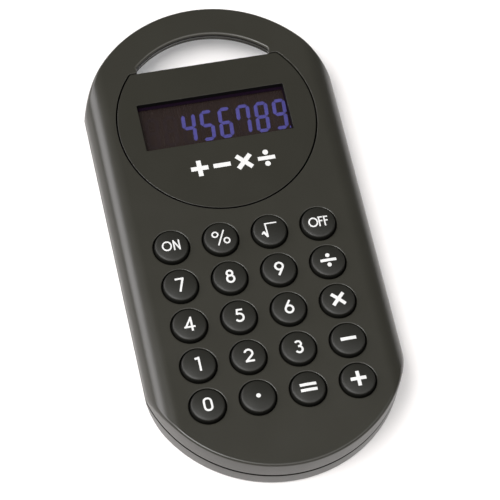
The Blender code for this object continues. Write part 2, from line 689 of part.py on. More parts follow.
def make_screws():
    for number, centre in enumerate(CASING_SCREWS, 1):
        profile = [
            (0, CASING_HEAD_LOW),
            (CASING_HEAD_RADIUS, CASING_HEAD_LOW),
            (CASING_HEAD_RADIUS, CASING_HEAD_HIGH),
            (CASING_SHANK_RADIUS, CASING_HEAD_HIGH),
            (CASING_SHANK_RADIUS, CASING_SHANK_TOP - CASING_SHANK_RADIUS),
            (0, CASING_SHANK_TOP),
        ]
        bm = bmesh.new()
        add_turned(bm, profile, centre, SMALL_STEPS)
        make(f"casing_screw_{number}", bm, "steel", smooth=True)
    for number, centre in enumerate(BOARD_SCREWS, 1):
        head_top = BOARD_LOW - REST_GAP
        profile = [
            (0, head_top - BOARD_HEAD),
            (BOARD_HEAD_RADIUS, head_top - BOARD_HEAD),
            (BOARD_HEAD_RADIUS, head_top),
            (BOARD_SHANK_RADIUS, head_top),
            (BOARD_SHANK_RADIUS, BOARD_SHANK_TOP - BOARD_SHANK_RADIUS),
            (0, BOARD_SHANK_TOP),
        ]
        bm = bmesh.new()
        add_turned(bm, profile, centre, SMALL_STEPS)
        make(f"board_screw_{number}", bm, "steel", smooth=True)


def make_battery():
    shoulder = CELL_HIGH - CELL_CAP_HEIGHT
    profile = [
        (0, CELL_LOW),
        (CELL_RADIUS, CELL_LOW),
        (CELL_RADIUS, shoulder),
        (CELL_CAP_RADIUS, shoulder),
        (CELL_CAP_RADIUS, CELL_HIGH),
        (0, CELL_HIGH),
    ]
    bm = bmesh.new()
    add_turned(bm, profile, (0, CELL_CENTRE_Y), HOLE_STEPS)
    make("button_cell", bm, "steel", smooth=True)

    # The negative contact is a leaf that hangs from the board and ends over the middle of the cell.
    foot = BOARD_LOW - REST_GAP
    tip = CELL_HIGH + REST_GAP
    far, near, end = CELL_CENTRE_Y + 7 * MM, CELL_CENTRE_Y + 4 * MM, CELL_CENTRE_Y - 2 * MM
    side = [
        (far, foot - CONTACT_SHEET),
        (far, foot),
        (near, foot),
        (end, tip + CONTACT_SHEET),
        (end, tip),
        (near, foot - CONTACT_SHEET),
    ]
    bm = bmesh.new()
    add_strip(bm, side, 2 * MM)
    make("contact_negative", bm, "contact")

    # The positive contact is an angle: a foot on the board, and a blade beside the cell.
    blade = CELL_RADIUS + REST_GAP
    bm = bmesh.new()
    add_box(bm, (blade, blade + CONTACT_SHEET), (CELL_CENTRE_Y - 3 * MM, CELL_CENTRE_Y + 3 * MM), (2 * MM, foot))
    contact = make("contact_positive", bm, "contact")
    bm = bmesh.new()
    ys = (CELL_CENTRE_Y - 2 * MM, CELL_CENTRE_Y + 2 * MM)
    add_box(bm, (blade + CONTACT_SHEET / 2, blade + 4 * MM), ys, (foot - CONTACT_SHEET, foot))
    combine(contact, "UNION", bm, "foot")


def main():
    clear_scene()
    make_front_casing()
    make_rear_casing()
    make_battery_door()
    make_panel()
    make_display()
    make_board()
    make_mat()
    make_keys()
    make_screws()
    make_battery()


main()
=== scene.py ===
"""Looks of the handheld calculator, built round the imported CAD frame. The shape code is in millimetres."""

import math

import bmesh
import bpy
import numpy as np
from mathutils import Matrix, Vector
from mathutils.geometry import delaunay_2d_cdt


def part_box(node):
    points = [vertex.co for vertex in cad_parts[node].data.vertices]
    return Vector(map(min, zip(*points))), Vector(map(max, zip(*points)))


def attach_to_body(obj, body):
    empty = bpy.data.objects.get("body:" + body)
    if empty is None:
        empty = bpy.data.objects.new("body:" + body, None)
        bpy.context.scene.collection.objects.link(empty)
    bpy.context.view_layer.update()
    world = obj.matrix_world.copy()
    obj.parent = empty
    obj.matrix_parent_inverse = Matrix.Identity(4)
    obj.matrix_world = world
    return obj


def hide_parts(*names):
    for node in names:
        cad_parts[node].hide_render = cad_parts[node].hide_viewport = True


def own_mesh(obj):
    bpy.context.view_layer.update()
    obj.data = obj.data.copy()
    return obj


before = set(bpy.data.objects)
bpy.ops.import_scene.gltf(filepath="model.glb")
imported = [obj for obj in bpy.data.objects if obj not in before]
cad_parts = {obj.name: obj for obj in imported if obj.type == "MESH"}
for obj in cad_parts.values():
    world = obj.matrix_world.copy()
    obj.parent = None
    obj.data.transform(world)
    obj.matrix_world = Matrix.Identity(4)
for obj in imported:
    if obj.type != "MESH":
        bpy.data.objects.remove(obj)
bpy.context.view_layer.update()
BODY = "body"
MM = 0.001


def cad_box(node):
    """A node's lowest and highest corners, in millimetres."""
    return [[round(c / MM, 4) for c in corner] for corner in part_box(node)]


# The body. Its outline and its face are the CAD's.
HALF_WIDTH, HALF_LENGTH, FACE = cad_box("front_casing")[1]
FRONT_SEAM = 4.78
REAR_SEAM = 4.1
HANDLE_END_RADIUS = 31.2
KEYPAD_END_RADIUS = 30.8
FRONT_ROLL = 5.8
REAR_ROLL = 3.4
SIDE_LAND = 0.3
SEAM_CHAMFER = 0.06
CASING_FILLET = 0.6
TONGUE_INSET = 0.5
TONGUE_RISE = 0.5
PLATE_LOW = 8.5
FLOOR_TOP = 1.4
WALL_INSET = 1.4
PLATE_INSET = 2.6

# The panel, the handle opening and the window. Boxes are x0, x1, y0, y1.
PANEL_Y = 29.0
OPENING_RADIUS = 23.65
PANEL_RADIUS = 23.26
PANEL_TOP = 44.2
CASING_TOP = 44.48
HANDLE_RADIUS = 23.1
HANDLE_CORNER = 1.0
LIP_GROOVE_TOP = 9.6
LIP_GROOVE_LOW = 9.2
LIP_GROOVE_DEPTH = 0.05
COLLAR_TOP = 8.22
COLLAR_WALL = 1.5
FLARE_TOP = 7.8
FLARE_LOW = 0.7
FLARE_RADIUS = 27.7
FLARE_CORNER = 4.0
FLARE_STEPS = 8
WINDOW = (-17.85, 17.3, 23.5, 35.8)
POCKET = (-19.1, 19.1, 22.0, 37.3)
LENS = (-18.7, 18.7, 22.3, 36.95)
LENS_LOW = 8.3
LENS_HIGH = 8.6
DISPLAY = (-18.9, 18.9, 22.1, 37.2)
DISPLAY_LOW = 7.6
DISPLAY_HIGH = 8.15
INK_RISE = 0.01

# The keys and the mat under them.
KEY_PITCH_X = 11.5
KEY_PITCH_Y = 10.0
KEYPAD_Y = -22.05
KEY_HOLE = 4.32
KEY_HOLE_RIM = 0.22
KEY_ROWS = (
    ("key_on", "key_percent", "key_root", "key_off"),
    ("key_7", "key_8", "key_9", "key_divide"),
    ("key_4", "key_5", "key_6", "key_multiply"),
    ("key_1", "key_2", "key_3", "key_minus"),
    ("key_0", "key_point", "key_equals", "key_plus"),
)
KEY_CENTRES = {
    name: ((column - 1.5) * KEY_PITCH_X, KEYPAD_Y + (2 - row) * KEY_PITCH_Y)
    for row, names in enumerate(KEY_ROWS)
    for column, name in enumerate(names)
}
CROWN_EDGE = 3.56
CROWN_RISE = 0.34
CROWN_LOW = FACE + 0.88
SKIRT = 3.94
WEB_LOW = 5.9
WEB_TOP = 6.7
DOME_TOP = 7.5

# The screws and the battery door.
CASING_SCREWS = ((-24.0, 3.0), (24.0, 3.0), (-24.0, -37.05), (24.0, -37.05))
BOARD_SCREWS = ((-11.5, -7.05), (11.5, -7.05), (-11.5, -37.05), (11.5, -37.05))
SCREW_HOLE = 1.05
DOOR = (-8.5, 8.5, 2.2, 20.0)

# Width of the narrow band of faces beside a rounded edge. It keeps the shading of the flat face flat.
SUPPORT = 0.1


# ---- Mesh code ----


def inside(points, loop):
    """Which of the points lie inside the closed loop."""
    start = np.array([p[:2] for p in loop], float)
    end = np.roll(start, -1, axis=0)
    x, y = points[:, 0, None], points[:, 1, None]
    crosses = (start[:, 1] > y) != (end[:, 1] > y)
    rise = np.where(end[:, 1] == start[:, 1], 1, end[:, 1] - start[:, 1])
    at = start[:, 0] + (y - start[:, 1]) * (end[:, 0] - start[:, 0]) / rise
    return (crosses & (x < at)).sum(axis=1) % 2 == 1


def triangulated(loops, extra=(), kind=0):
    """Delaunay triangles that keep every loop's edges. Kind 1 leaves out what lies outside the first loop.
    Returns the points, the triangles and their centres."""
    given, edges = [], []
    for loop in loops:
        base = len(given)
        given += [tuple(p[:2]) for p in loop]
        edges += [(base + i, base + (i + 1) % len(loop)) for i in range(len(loop))]
    given += [tuple(p) for p in extra]
    found, _, triangles, sources = delaunay_2d_cdt([Vector(p) for p in given], edges, [], kind, 1e-6)[:4]
    points = np.array([given[source[0]] if source else p[:] for p, source in zip(found, sources)])
    triangles = [t for t in triangles if len(t) == 3]
    return points, triangles, points[np.array(triangles)].mean(axis=1)


class Skin:
    """Points and faces of one piece, in millimetres. Points that coincide are shared."""

    def __init__(self):
        self.points, self.faces, self.slots, self.known = [], [], [], {}

    def at(self, point):
        key = tuple(round(float(c), 4) for c in point)
        if key not in self.known:
            self.known[key] = len(self.points)
            self.points.append([float(c) for c in point])
        return self.known[key]

    def face(self, points, slot=0):
        ids = list(dict.fromkeys(self.at(p) for p in points))
        if len(ids) > 2:
            self.faces.append(ids)
            self.slots.append(slot)

    def strip(self, low, high, slot=0):
        """Faces between two closed rings."""
        for i in range(len(low)):
            j = (i + 1) % len(low)
            self.face([low[i], low[j], high[j], high[i]], slot)

    def stack(self, rings, slot=0):
        for low, high in zip(rings, rings[1:]):
            self.strip(low, high, slot)

    def fill(self, outer, holes, z):
        """A flat face at height z, with holes."""
        points, triangles, centres = triangulated([outer, *holes], kind=1)
        keep = np.ones(len(centres), bool)
        for hole in holes:
            keep &= ~inside(centres, hole)
        for triangle, kept in zip(triangles, keep):
            if kept:
                self.face([(*points[i], z) for i in triangle])

    def made(self, name, materials, sharp=40.0, location=(0, 0, 0)):
        """The finished piece. Edges steeper than sharp degrees stay crisp."""
        mesh = bpy.data.meshes.new(name)
        mesh.from_pydata([[c * MM for c in p] for p in self.points], [], self.faces)
        for found in materials:
            mesh.materials.append(found)
        mesh.polygons.foreach_set("material_index", self.slots)
        bm = bmesh.new()
        bm.from_mesh(mesh)
        bmesh.ops.recalc_face_normals(bm, faces=bm.faces)
        bm.to_mesh(mesh)
        bm.free()
        mesh.shade_smooth()
        mesh.set_sharp_from_angle(angle=math.radians(sharp))
        piece = bpy.data.objects.new(name, mesh)
        bpy.context.scene.collection.objects.link(piece)
        piece.location = [c * MM for c in location]
        return piece


def attach(piece, body, node=None):
    """Make a piece ride on a body and the CAD node that it replaces."""
    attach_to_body(piece, body)
    if node:
        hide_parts(node)


def lifted(loop, z):
    return [(p[0], p[1], z) for p in loop]


def circle(radius, centre=(0, 0), steps=64):
    turns = [2 * math.pi * i / steps for i in range(steps)]
    return [(centre[0] + radius * math.cos(a), centre[1] + radius * math.sin(a)) for a in turns]


def arc(centre, radius, start, end, steps):
    """Points of an arc, angles in degrees. radius may be a pair for an ellipse."""
    rx, ry = radius if isinstance(radius, tuple) else (radius, radius)
    turns = [math.radians(start + (end - start) * i / steps) for i in range(steps + 1)]
    return [(centre[0] + rx * math.cos(a), centre[1] + ry * math.sin(a)) for a in turns]


def rounded_box(box, radius, steps=6):
    x0, x1, y0, y1 = box
    corners = [((x1 - radius, y0 + radius), -90), ((x1 - radius, y1 - radius), 0)]
    corners += [((x0 + radius, y1 - radius), 90), ((x0 + radius, y0 + radius), 180)]
    return [p for centre, start in corners for p in arc(centre, radius, start, start + 90, steps)]


def eased(start, corner, end, steps=5):
    """A small curve that rounds off a corner."""
    points = []
    for i in range(steps + 1):
        t = i / steps
        a, b, c = (1 - t) ** 2, 2 * t * (1 - t), t * t
        points.append(tuple(a * start[k] + b * corner[k] + c * end[k] for k in (0, 1)))
    return points


def outward(loop, distance):
    """An anticlockwise loop moved outwards. distance is a number, or one number for each point."""
    points = np.array(loop, float)
    along = np.roll(points, -1, axis=0) - np.roll(points, 1, axis=0)
    along /= np.linalg.norm(along, axis=1)[:, None]
    normal = np.stack([along[:, 1], -along[:, 0]], axis=1)
    moved = points + normal * np.broadcast_to(np.asarray(distance, float).reshape(-1, 1), (len(points), 1))
    return [tuple(p) for p in moved]


def rim(skin, loop, width, top, bottom, edge=0, wall=0):
    """A hole's rounded rim and wall, with a slot for each. The flat face at the top may look up or down.
    Returns the loop where that face begins."""
    steps = 4
    width = np.broadcast_to(np.asarray(width, float), (len(loop),))
    way = 1 if top > bottom else -1
    rings = [lifted(outward(loop, width + SUPPORT), top)]
    for i in range(steps + 1):
        a = math.pi / 2 * i / steps
        ring = outward(loop, width * (1 - math.sin(a)))
        heights = top - way * width * (1 - math.cos(a))
        rings.append([(x, y, z) for (x, y), z in zip(ring, heights)])
    low = top - way * (width.max() + SUPPORT)
    rings.append(lifted(loop, low))
    rings.append(lifted(loop, bottom))
    skin.stack(rings[:2])
    skin.stack(rings[1 : steps + 2], edge)
    skin.stack(rings[steps + 1 :], wall)
    return rings[0]


# ---- The two casings ----


def end_ys(x, inset):
    """Where the body's two round ends, moved inwards by the inset, lie at this x."""
    low = KEYPAD_END_RADIUS - HALF_LENGTH - math.sqrt((KEYPAD_END_RADIUS - inset) ** 2 - x * x)
    high = HALF_LENGTH - HANDLE_END_RADIUS + math.sqrt((HANDLE_END_RADIUS - inset) ** 2 - x * x)
    return low, high


def section_xs(roll):
    """The x of every column of faces across the body: the rolled sides, and the flat middle between them."""
    flat_steps, roll_steps = 56, 22
    flat = HALF_WIDTH - roll
    side = [flat + roll * math.sin(math.pi / 2 * i / roll_steps) for i in range(roll_steps + 1)]
    inner = flat - 0.08
    middle = [inner * (2 * i / flat_steps - 1) for i in range(flat_steps + 1)]
    return [-x for x in reversed(side)] + middle + side


def body_ring(xs, inset, height):
    """A closed ring round the body. inset and height are functions of x."""
    low = [(x, end_ys(x, inset(x))[0], height(x)) for x in xs]
    high = [(x, end_ys(x, inset(x))[1], height(x)) for x in reversed(xs)]
    return low + high


def shell(skin, seam, way, height, roll):
    """Outer skin of a casing from its seam to its flat face. way is 1 for a casing above its seam and -1 for
    one below. Returns the flat face's outline and the ring at the seam."""
    fillet_steps = 6
    flat = HALF_WIDTH - roll
    xs = section_xs(roll)

    def top(x):
        over = min(max(abs(x) - flat, 0) / roll, 1)
        return SIDE_LAND + (height - SIDE_LAND) * math.sqrt(1 - over * over)

    def radius(x):
        return min(CASING_FILLET, 0.5 * (top(x) - SEAM_CHAMFER - SUPPORT))

    def level(value):
        return lambda x: seam + way * value(x)

    narrow = [x * (HALF_WIDTH - SEAM_CHAMFER) / HALF_WIDTH for x in xs]
    rings = [
        body_ring(narrow, lambda x: SEAM_CHAMFER, level(lambda x: 0)),
        body_ring(xs, lambda x: 0, level(lambda x: SEAM_CHAMFER)),
        body_ring(xs, lambda x: 0, level(lambda x: SEAM_CHAMFER + SUPPORT / 2)),
    ]
    for i in range(fillet_steps + 1):
        a = math.pi / 2 * i / fillet_steps
        inset = lambda x, a=a: radius(x) * (1 - math.cos(a))
        rings.append(body_ring(xs, inset, level(lambda x, a=a: top(x) - radius(x) * (1 - math.sin(a)))))
    rings.append(body_ring(xs, lambda x: radius(x) + SUPPORT, level(top)))
    skin.stack(rings)

    # The last ring's two ends are joined along the body, strip by strip, except over the flat face.
    count = len(xs)
    low, high = rings[-1][:count], rings[-1][count:][::-1]
    inner = flat - 0.04
    for i in range(count - 1):
        if abs(xs[i]) > inner or abs(xs[i + 1]) > inner:
            skin.face([low[i], low[i + 1], high[i + 1], high[i]])
    face = [i for i in range(count) if abs(xs[i]) < inner]
    return [low[i] for i in face] + [high[i] for i in reversed(face)], rings[0]


def inner_rings(roll, places):
    """Rings inside the body's outline. places gives each one's inset and height."""
    rings = []
    for inset, z in places:
        scaled = [x * (HALF_WIDTH - inset) / HALF_WIDTH for x in section_xs(roll)]
        rings.append(body_ring(scaled, lambda x: inset, lambda x: z))
    return rings


def handle_corner(radius, corner):
    """Centre of the circle that rounds the handle opening's right corner, and its angle about the panel's
    centre."""
    rise = PANEL_TOP + corner - PANEL_Y
    run = math.sqrt((radius - corner) ** 2 - rise * rise)
    return (run, PANEL_TOP + corner), math.degrees(math.atan2(rise, run))


def handle_loop(radius, corner):
    """The handle opening's outline: straight along the panel, then an arc, with round corners."""
    centre, angle = handle_corner(radius, corner)
    mirrored = (-centre[0], centre[1])
    edge = [(centre[0] * (2 * i / 8 - 1), PANEL_TOP) for i in range(1, 8)]
    loop = edge + arc(centre, corner, -90, angle, 12)
    loop += arc((0, PANEL_Y), radius, angle, 180 - angle, 64)[1:-1]
    return loop + arc(mirrored, corner, 180 - angle, 270, 12)


def casing_opening():
    """The front casing's opening: the panel's place, with the handle opening above it. The rim is soft round
    the handle opening and crisp elsewhere. Returns the loop and its rim widths."""
    ease, soft, crisp = 0.6, 0.5, 0.07
    centre, angle = handle_corner(HANDLE_RADIUS, HANDLE_CORNER)
    rise = CASING_TOP - PANEL_Y
    outer = (math.sqrt(OPENING_RADIUS**2 - rise * rise), CASING_TOP)
    outer_angle = math.degrees(math.atan2(rise, outer[0]))
    drop = CASING_TOP - centre[1]
    tip = (centre[0] + math.sqrt(HANDLE_CORNER**2 - drop * drop), CASING_TOP)
    tip_angle = math.degrees(math.atan2(drop, tip[0] - centre[0]))
    back = math.degrees(ease / OPENING_RADIUS)
    skip = math.degrees(ease / HANDLE_CORNER)

    bottom = arc((0, PANEL_Y), OPENING_RADIUS, -90, outer_angle - back, 66)
    notch = eased(bottom[-1], outer, (outer[0] - ease, CASING_TOP))[1:]
    corner = arc(centre, HANDLE_CORNER, tip_angle + skip, angle, 10)
    cusp = eased((tip[0] + ease, CASING_TOP), tip, corner[0])[:-1]
    right = bottom + notch + cusp + corner
    widths = [crisp] * (len(bottom) + len(notch) + len(cusp))
    widths += [crisp + (soft - crisp) * i / 10 for i in range(11)]
    top = arc((0, PANEL_Y), HANDLE_RADIUS, angle, 90, 32)[1:]
    half = right + top
    widths += [soft] * len(top)
    left = [(-x, y) for x, y in reversed(half[1:-1])]
    return half + left, widths + widths[-2:0:-1]


def front_post(skin, centre, radius, bore, low, depth):
    """A post under the face, from PLATE_LOW down to low, with a blind hole from its end up to depth."""
    outside, hole = circle(radius, centre, 32), circle(bore, centre, 32)
    skin.stack([lifted(outside, PLATE_LOW), lifted(outside, low), lifted(hole, low), lifted(hole, depth)])
    skin.fill(hole, [], depth)
    return outside


def front_casing(materials):
    skin = Skin()
    face, seam = shell(skin, FRONT_SEAM, 1, FACE - FRONT_SEAM, FRONT_ROLL)
    tops, bottoms = [], []
    for centre in KEY_CENTRES.values():
        loop = circle(KEY_HOLE, centre)
        # Each key hole's wall takes the gap colour, painted shade.
        tops.append(rim(skin, loop, KEY_HOLE_RIM, FACE, PLATE_LOW, wall=1))
        bottoms.append(loop)

    # The lip of the opening, with a shallow groove round it. The groove's colour is painted shade.
    loop, widths = casing_opening()
    # The lip's rounded rim takes the lighter edge colour, a painted highlight.
    tops.append(rim(skin, loop, widths, FACE, LIP_GROOVE_TOP, edge=2))
    groove = outward(loop, LIP_GROOVE_DEPTH)
    rings = [lifted(loop, LIP_GROOVE_TOP), lifted(groove, LIP_GROOVE_TOP - LIP_GROOVE_DEPTH)]
    rings += [lifted(groove, LIP_GROOVE_LOW + LIP_GROOVE_DEPTH), lifted(loop, LIP_GROOVE_LOW)]
    skin.stack(rings, 1)
    # The wall under the groove takes the lighter edge colour too, painted light.
    skin.stack([lifted(loop, LIP_GROOVE_LOW), lifted(loop, PLATE_LOW)], 2)
    bottoms.append(loop)
    skin.fill(face, tops, FACE)

    for centre in BOARD_SCREWS:
        bottoms.append(front_post(skin, centre, 1.75, 0.95, 5.9, 8.1))
    for centre in CASING_SCREWS:
        bottoms.append(front_post(skin, centre, 2.3, SCREW_HOLE, 4.5, 7.7))

    rebate = TONGUE_INSET - 0.05
    rebate_top = FRONT_SEAM + TONGUE_RISE + 0.1
    places = [(rebate, FRONT_SEAM), (rebate, rebate_top), (WALL_INSET, rebate_top), (PLATE_INSET, PLATE_LOW)]
    inner = [seam] + inner_rings(FRONT_ROLL, places)
    # The faces inside the seam take the gap colour, painted shade in the joint.
    skin.stack(inner[:3], 1)
    skin.stack(inner[2:])
    skin.fill(inner[-1], bottoms, PLATE_LOW)
    return skin.made("front_cover", materials)


def rear_screw_place(skin, centre):
    """A counterbore and its hole, with a boss round them. Returns its outlines outside and inside."""
    ledge = 1.65
    boss_top = REAR_SEAM - 0.05
    bore, hole, boss = circle(2.0, centre, 40), circle(SCREW_HOLE, centre, 40), circle(2.6, centre, 40)
    opening = rim(skin, bore, 0.15, 0, ledge)
    rings = [lifted(bore, ledge), lifted(hole, ledge), lifted(hole, boss_top)]
    rings += [lifted(boss, boss_top), lifted(boss, FLOOR_TOP)]
    skin.stack(rings)
    return opening, boss


def battery_well(skin):
    """The door's recess and its ledge, the way in, and the block round the well. Returns its outlines."""
    ledge, block_top = 1.1, 4.5
    recess = rounded_box((-8.75, 8.75, 1.95, 20.25), 1.0)
    way_in = rounded_box((-6.6, 6.6, 3.6, 20.2), 0.4)
    well = rounded_box((-6.6, 6.6, 3.6, 22.6), 0.4)
    block = rounded_box((-9.95, 9.95, 0.75, 24.0), 1.0)
    opening = rim(skin, recess, 0.15, 0, ledge)
    rings = [lifted(recess, ledge), lifted(way_in, ledge), lifted(way_in, FLOOR_TOP), lifted(well, FLOOR_TOP)]
    rings += [lifted(well, block_top), lifted(block, block_top), lifted(block, FLOOR_TOP)]
    skin.stack(rings)
    return opening, block


def handle_flare(skin):
    """The handle opening in the rear casing. It flares towards the back, and a collar meets the front casing.
    Returns its outlines."""
    flare = handle_loop(FLARE_RADIUS, FLARE_CORNER)
    opening = rim(skin, flare, 0.5, 0, FLARE_LOW)
    rings = [lifted(flare, FLARE_LOW)]
    for i in range(1, FLARE_STEPS + 1):
        t = (i / FLARE_STEPS) ** 1.6
        radius = FLARE_RADIUS + (HANDLE_RADIUS - FLARE_RADIUS) * t
        corner = FLARE_CORNER + (HANDLE_CORNER - FLARE_CORNER) * t
        height = FLARE_LOW + (FLARE_TOP - FLARE_LOW) * i / FLARE_STEPS
        rings.append(lifted(handle_loop(radius, corner), height))
    collar = handle_loop(HANDLE_RADIUS, HANDLE_CORNER)
    chamfer = 0.1
    rings += [lifted(collar, FLARE_TOP + 0.05), lifted(collar, COLLAR_TOP - chamfer)]
    rings.append(lifted(outward(collar, chamfer), COLLAR_TOP))
    skin.stack(rings)
    behind = outward(collar, COLLAR_WALL)
    outside = outward(flare, 0.5)
    back = [lifted(behind, COLLAR_TOP), lifted(behind, FLARE_TOP), lifted(outside, FLOOR_TOP)]
    # The collar's top and the faces behind it take the gap colour, painted shade under the front casing.
    skin.stack([rings[-1], *back], 1)
    return opening, outside


def rear_casing(materials):
    skin = Skin()
    face, seam = shell(skin, REAR_SEAM, -1, REAR_SEAM, REAR_ROLL)
    openings = [rear_screw_place(skin, centre) for centre in CASING_SCREWS]
    openings += [battery_well(skin), handle_flare(skin)]
    skin.fill(face, [outside for outside, _ in openings], 0)

    tongue_top = FRONT_SEAM + TONGUE_RISE
    places = [(TONGUE_INSET, REAR_SEAM), (TONGUE_INSET, tongue_top), (WALL_INSET, tongue_top)]
    places += [(WALL_INSET + 0.1, FLOOR_TOP + 1.5), (WALL_INSET + 0.3, FLOOR_TOP)]
    inner = [seam] + inner_rings(REAR_ROLL, places)
    # The faces inside the seam take the gap colour, painted shade in the joint.
    skin.stack(inner[:3], 1)
    skin.stack(inner[2:])
    skin.fill(inner[-1], [inside_loop for _, inside_loop in openings], FLOOR_TOP)
    return skin.made("rear_cover", materials)


# ---- The panel and the display ----


def panel_loop():
    """The panel's outline: a disc cut straight, its corners rounded off."""
    ease = 0.3
    rise = PANEL_TOP - PANEL_Y
    corner = (math.sqrt(PANEL_RADIUS**2 - rise * rise), PANEL_TOP)
    angle = math.degrees(math.atan2(rise, corner[0])) - math.degrees(ease / PANEL_RADIUS)
    bottom = arc((0, PANEL_Y), PANEL_RADIUS, -90, angle, 66)
    right = bottom + eased(bottom[-1], corner, (corner[0] - ease, PANEL_TOP))[1:]
    edge = [(corner[0] - ease - (corner[0] - ease) * i / 4, PANEL_TOP) for i in range(1, 5)]
    half = right + edge
    return half + [(-x, y) for x, y in reversed(half[1:-1])]


def edge_rings(loop, width, top, way=1):
    """Rings of a rounded outer edge, from its flat face to the wall. way is -1 for a face that looks down."""
    steps = 3
    rings = [lifted(outward(loop, -width - SUPPORT), top)]
    for i in range(steps + 1):
        a = math.pi / 2 * i / steps
        rings.append(lifted(outward(loop, -width * (1 - math.sin(a))), top - way * width * (1 - math.cos(a))))
    rings.append(lifted(loop, top - way * (width + SUPPORT / 2)))
    return rings


def display_panel(materials):
    skin = Skin()
    loop = panel_loop()
    rings = edge_rings(loop, 0.09, FACE)
    skin.stack(rings)
    # The panel's wall takes the gap colour, painted shade in the groove round the panel.
    skin.stack([rings[-1], lifted(loop, PLATE_LOW)], 1)
    window = rounded_box(WINDOW, 0.25)
    pocket = rounded_box(POCKET, 0.25)
    shelf = LENS_HIGH + 0.05
    # The window's walls take the gap colour, painted shade inside the recess.
    opening = rim(skin, window, 0.06, FACE, shelf, wall=1)
    skin.stack([lifted(window, shelf), lifted(pocket, shelf), lifted(pocket, PLATE_LOW)])
    skin.fill(rings[0], [opening], FACE)
    skin.fill(loop, [pocket], PLATE_LOW)
    return skin.made("display_bezel", materials)


def slab(name, box, corner, low, high, edge, materials):
    """A flat plate with round corners and a rounded upper edge."""
    skin = Skin()
    loop = rounded_box(box, corner)
    rings = edge_rings(loop, edge, high)
    rings.append(lifted(loop, low))
    skin.stack(rings)
    skin.fill(rings[0], [], high)
    skin.fill(loop, [], low)
    return skin.made(name, materials)


# The bars of each digit: a is the top one, then clockwise to f, and g is the middle one.
SEGMENTS = {
    "4": "bcfg",
    "5": "acdfg",
    "6": "acdefg",
    "7": "abcf",
    "8": "abcdefg",
    "9": "abcdfg",
}


def segment_shapes(width, height, stroke):
    """The seven bars of a digit, with mitred ends, from its lower left corner."""
    gap = 0.05
    half = stroke / 2
    middle = height / 2

    def across(y):
        x0, x1 = half + gap, width - half - gap
        lower = [(x0, y), (x0 + half, y - half), (x1 - half, y - half)]
        return lower + [(x1, y), (x1 - half, y + half), (x0 + half, y + half)]

    def upright(x, y0, y1):
        low, high = y0 + gap, y1 - gap
        right = [(x, low), (x + half, low + half), (x + half, high - half)]
        return right + [(x, high), (x - half, high - half), (x - half, low + half)]

    return {
        "a": across(height - half),
        "g": across(middle),
        "d": across(half),
        "b": upright(width - half, middle, height - half),
        "c": upright(width - half, half, middle),
        "f": upright(half, middle, height - half),
        "e": upright(half, half, middle),
    }


def display_digits(lit, faint):
    """The number on the display. Unlit bars show faintly."""
    skin = Skin()
    left, low, pitch = -17.24, 24.75, 4.37
    width, height, stroke, slant = 3.28, 8.1, 0.88, 0.085
    text = "  456789"
    shapes = segment_shapes(width, height, stroke)
    for place, character in enumerate(text):
        for letter, shape in shapes.items():
            shown = letter in SEGMENTS.get(character, "")
            z = DISPLAY_HIGH + INK_RISE * (2 if shown else 1)
            points = [(left + place * pitch + x + slant * y, low + y, z) for x, y in shape]
            skin.face(points, 0 if shown else 1)
    point_x = left + (len(text) - 1) * pitch + width + 0.22
    point = rounded_box((point_x, point_x + 0.5, low, low + 0.6), 0.1, 2)
    skin.face(lifted(point, DISPLAY_HIGH + 2 * INK_RISE))
    return skin.made("display_digits", [lit, faint])


def window_shade_band(window_shade):
    """A dark band round the window, painted shade of the recess walls. It is widest at the top, and runs on
    under the panel.
    """
    skin = Skin()
    x0, x1, y0, y1 = WINDOW
    hidden = 0.6
    left, right, bottom, top = 0.12, 0.26, 0.08, 0.75
    outside = rounded_box((x0 - hidden, x1 + hidden, y0 - hidden, y1 + hidden), 0.3)
    clear = rounded_box((x0 + left, x1 - right, y0 + bottom, y1 - top), 0.2)
    skin.fill(outside, [clear], LENS_HIGH + INK_RISE)
    return skin.made("window_shade_band", [window_shade])


# ---- Printed signs ----


def ribbon(points, width, closed=False):
    """The outline, or two outlines, of a line drawn with a flat pen of this width."""
    points = np.array(points, float)
    count = len(points)
    left, right = [], []
    for i in range(count):
        before = points[i] - points[i - 1] if i or closed else None
        after = points[(i + 1) % count] - points[i] if i < count - 1 or closed else None
        ways = [v / np.linalg.norm(v) for v in (before, after) if v is not None]
        normals = [np.array([-v[1], v[0]]) for v in ways]
        mean = sum(normals) / np.linalg.norm(sum(normals))
        reach = width / 2 / max(float(mean @ normals[0]), 0.45)
        left.append(tuple(points[i] + mean * reach))
        right.append(tuple(points[i] - mean * reach))
    if closed:
        return [left, right]
    return [left + right[::-1]]


def divided(loop, spacing):
    """The loop with points added, so that no side is longer than the spacing."""
    points = []
    for (x0, y0), (x1, y1) in zip(loop, loop[1:] + loop[:1]):
        count = math.ceil(math.hypot(x1 - x0, y1 - y0) / spacing) or 1
        points += [(x0 + (x1 - x0) * i / count, y0 + (y1 - y0) * i / count) for i in range(count)]
    return points


def bar(centre, length, width, angle=0.0):
    """A straight stroke about its centre."""
    way = np.array([math.cos(math.radians(angle)), math.sin(math.radians(angle))]) * length / 2
    return ribbon([np.array(centre) - way, np.array(centre) + way], width)


def ring_of(centre, radius, width):
    """A round or oval stroke."""
    return ribbon(arc(centre, radius, 0, 360, 36)[:-1], width, closed=True)


def dot(centre, radius):
    return [circle(radius, centre, 24)]


LETTER_PEN = 0.34


def letter_o(x, rx):
    return ring_of((x, 0), (rx, 1.06), LETTER_PEN)


def letter_stem(x):
    return ribbon([(x, -1.27), (x, 1.27)], LETTER_PEN)


def letter_n(x, width):
    return [letter_stem(x), letter_stem(x + width), ribbon([(x, 1.1), (x + width, -1.1)], 0.36)]


def letter_f(x):
    arms = [(x - 0.2, x + 0.88, 1.06), (x, x + 0.78, 0.1)]
    return [letter_stem(x)] + [ribbon([(x0, y), (x1, y)], LETTER_PEN) for x0, x1, y in arms]


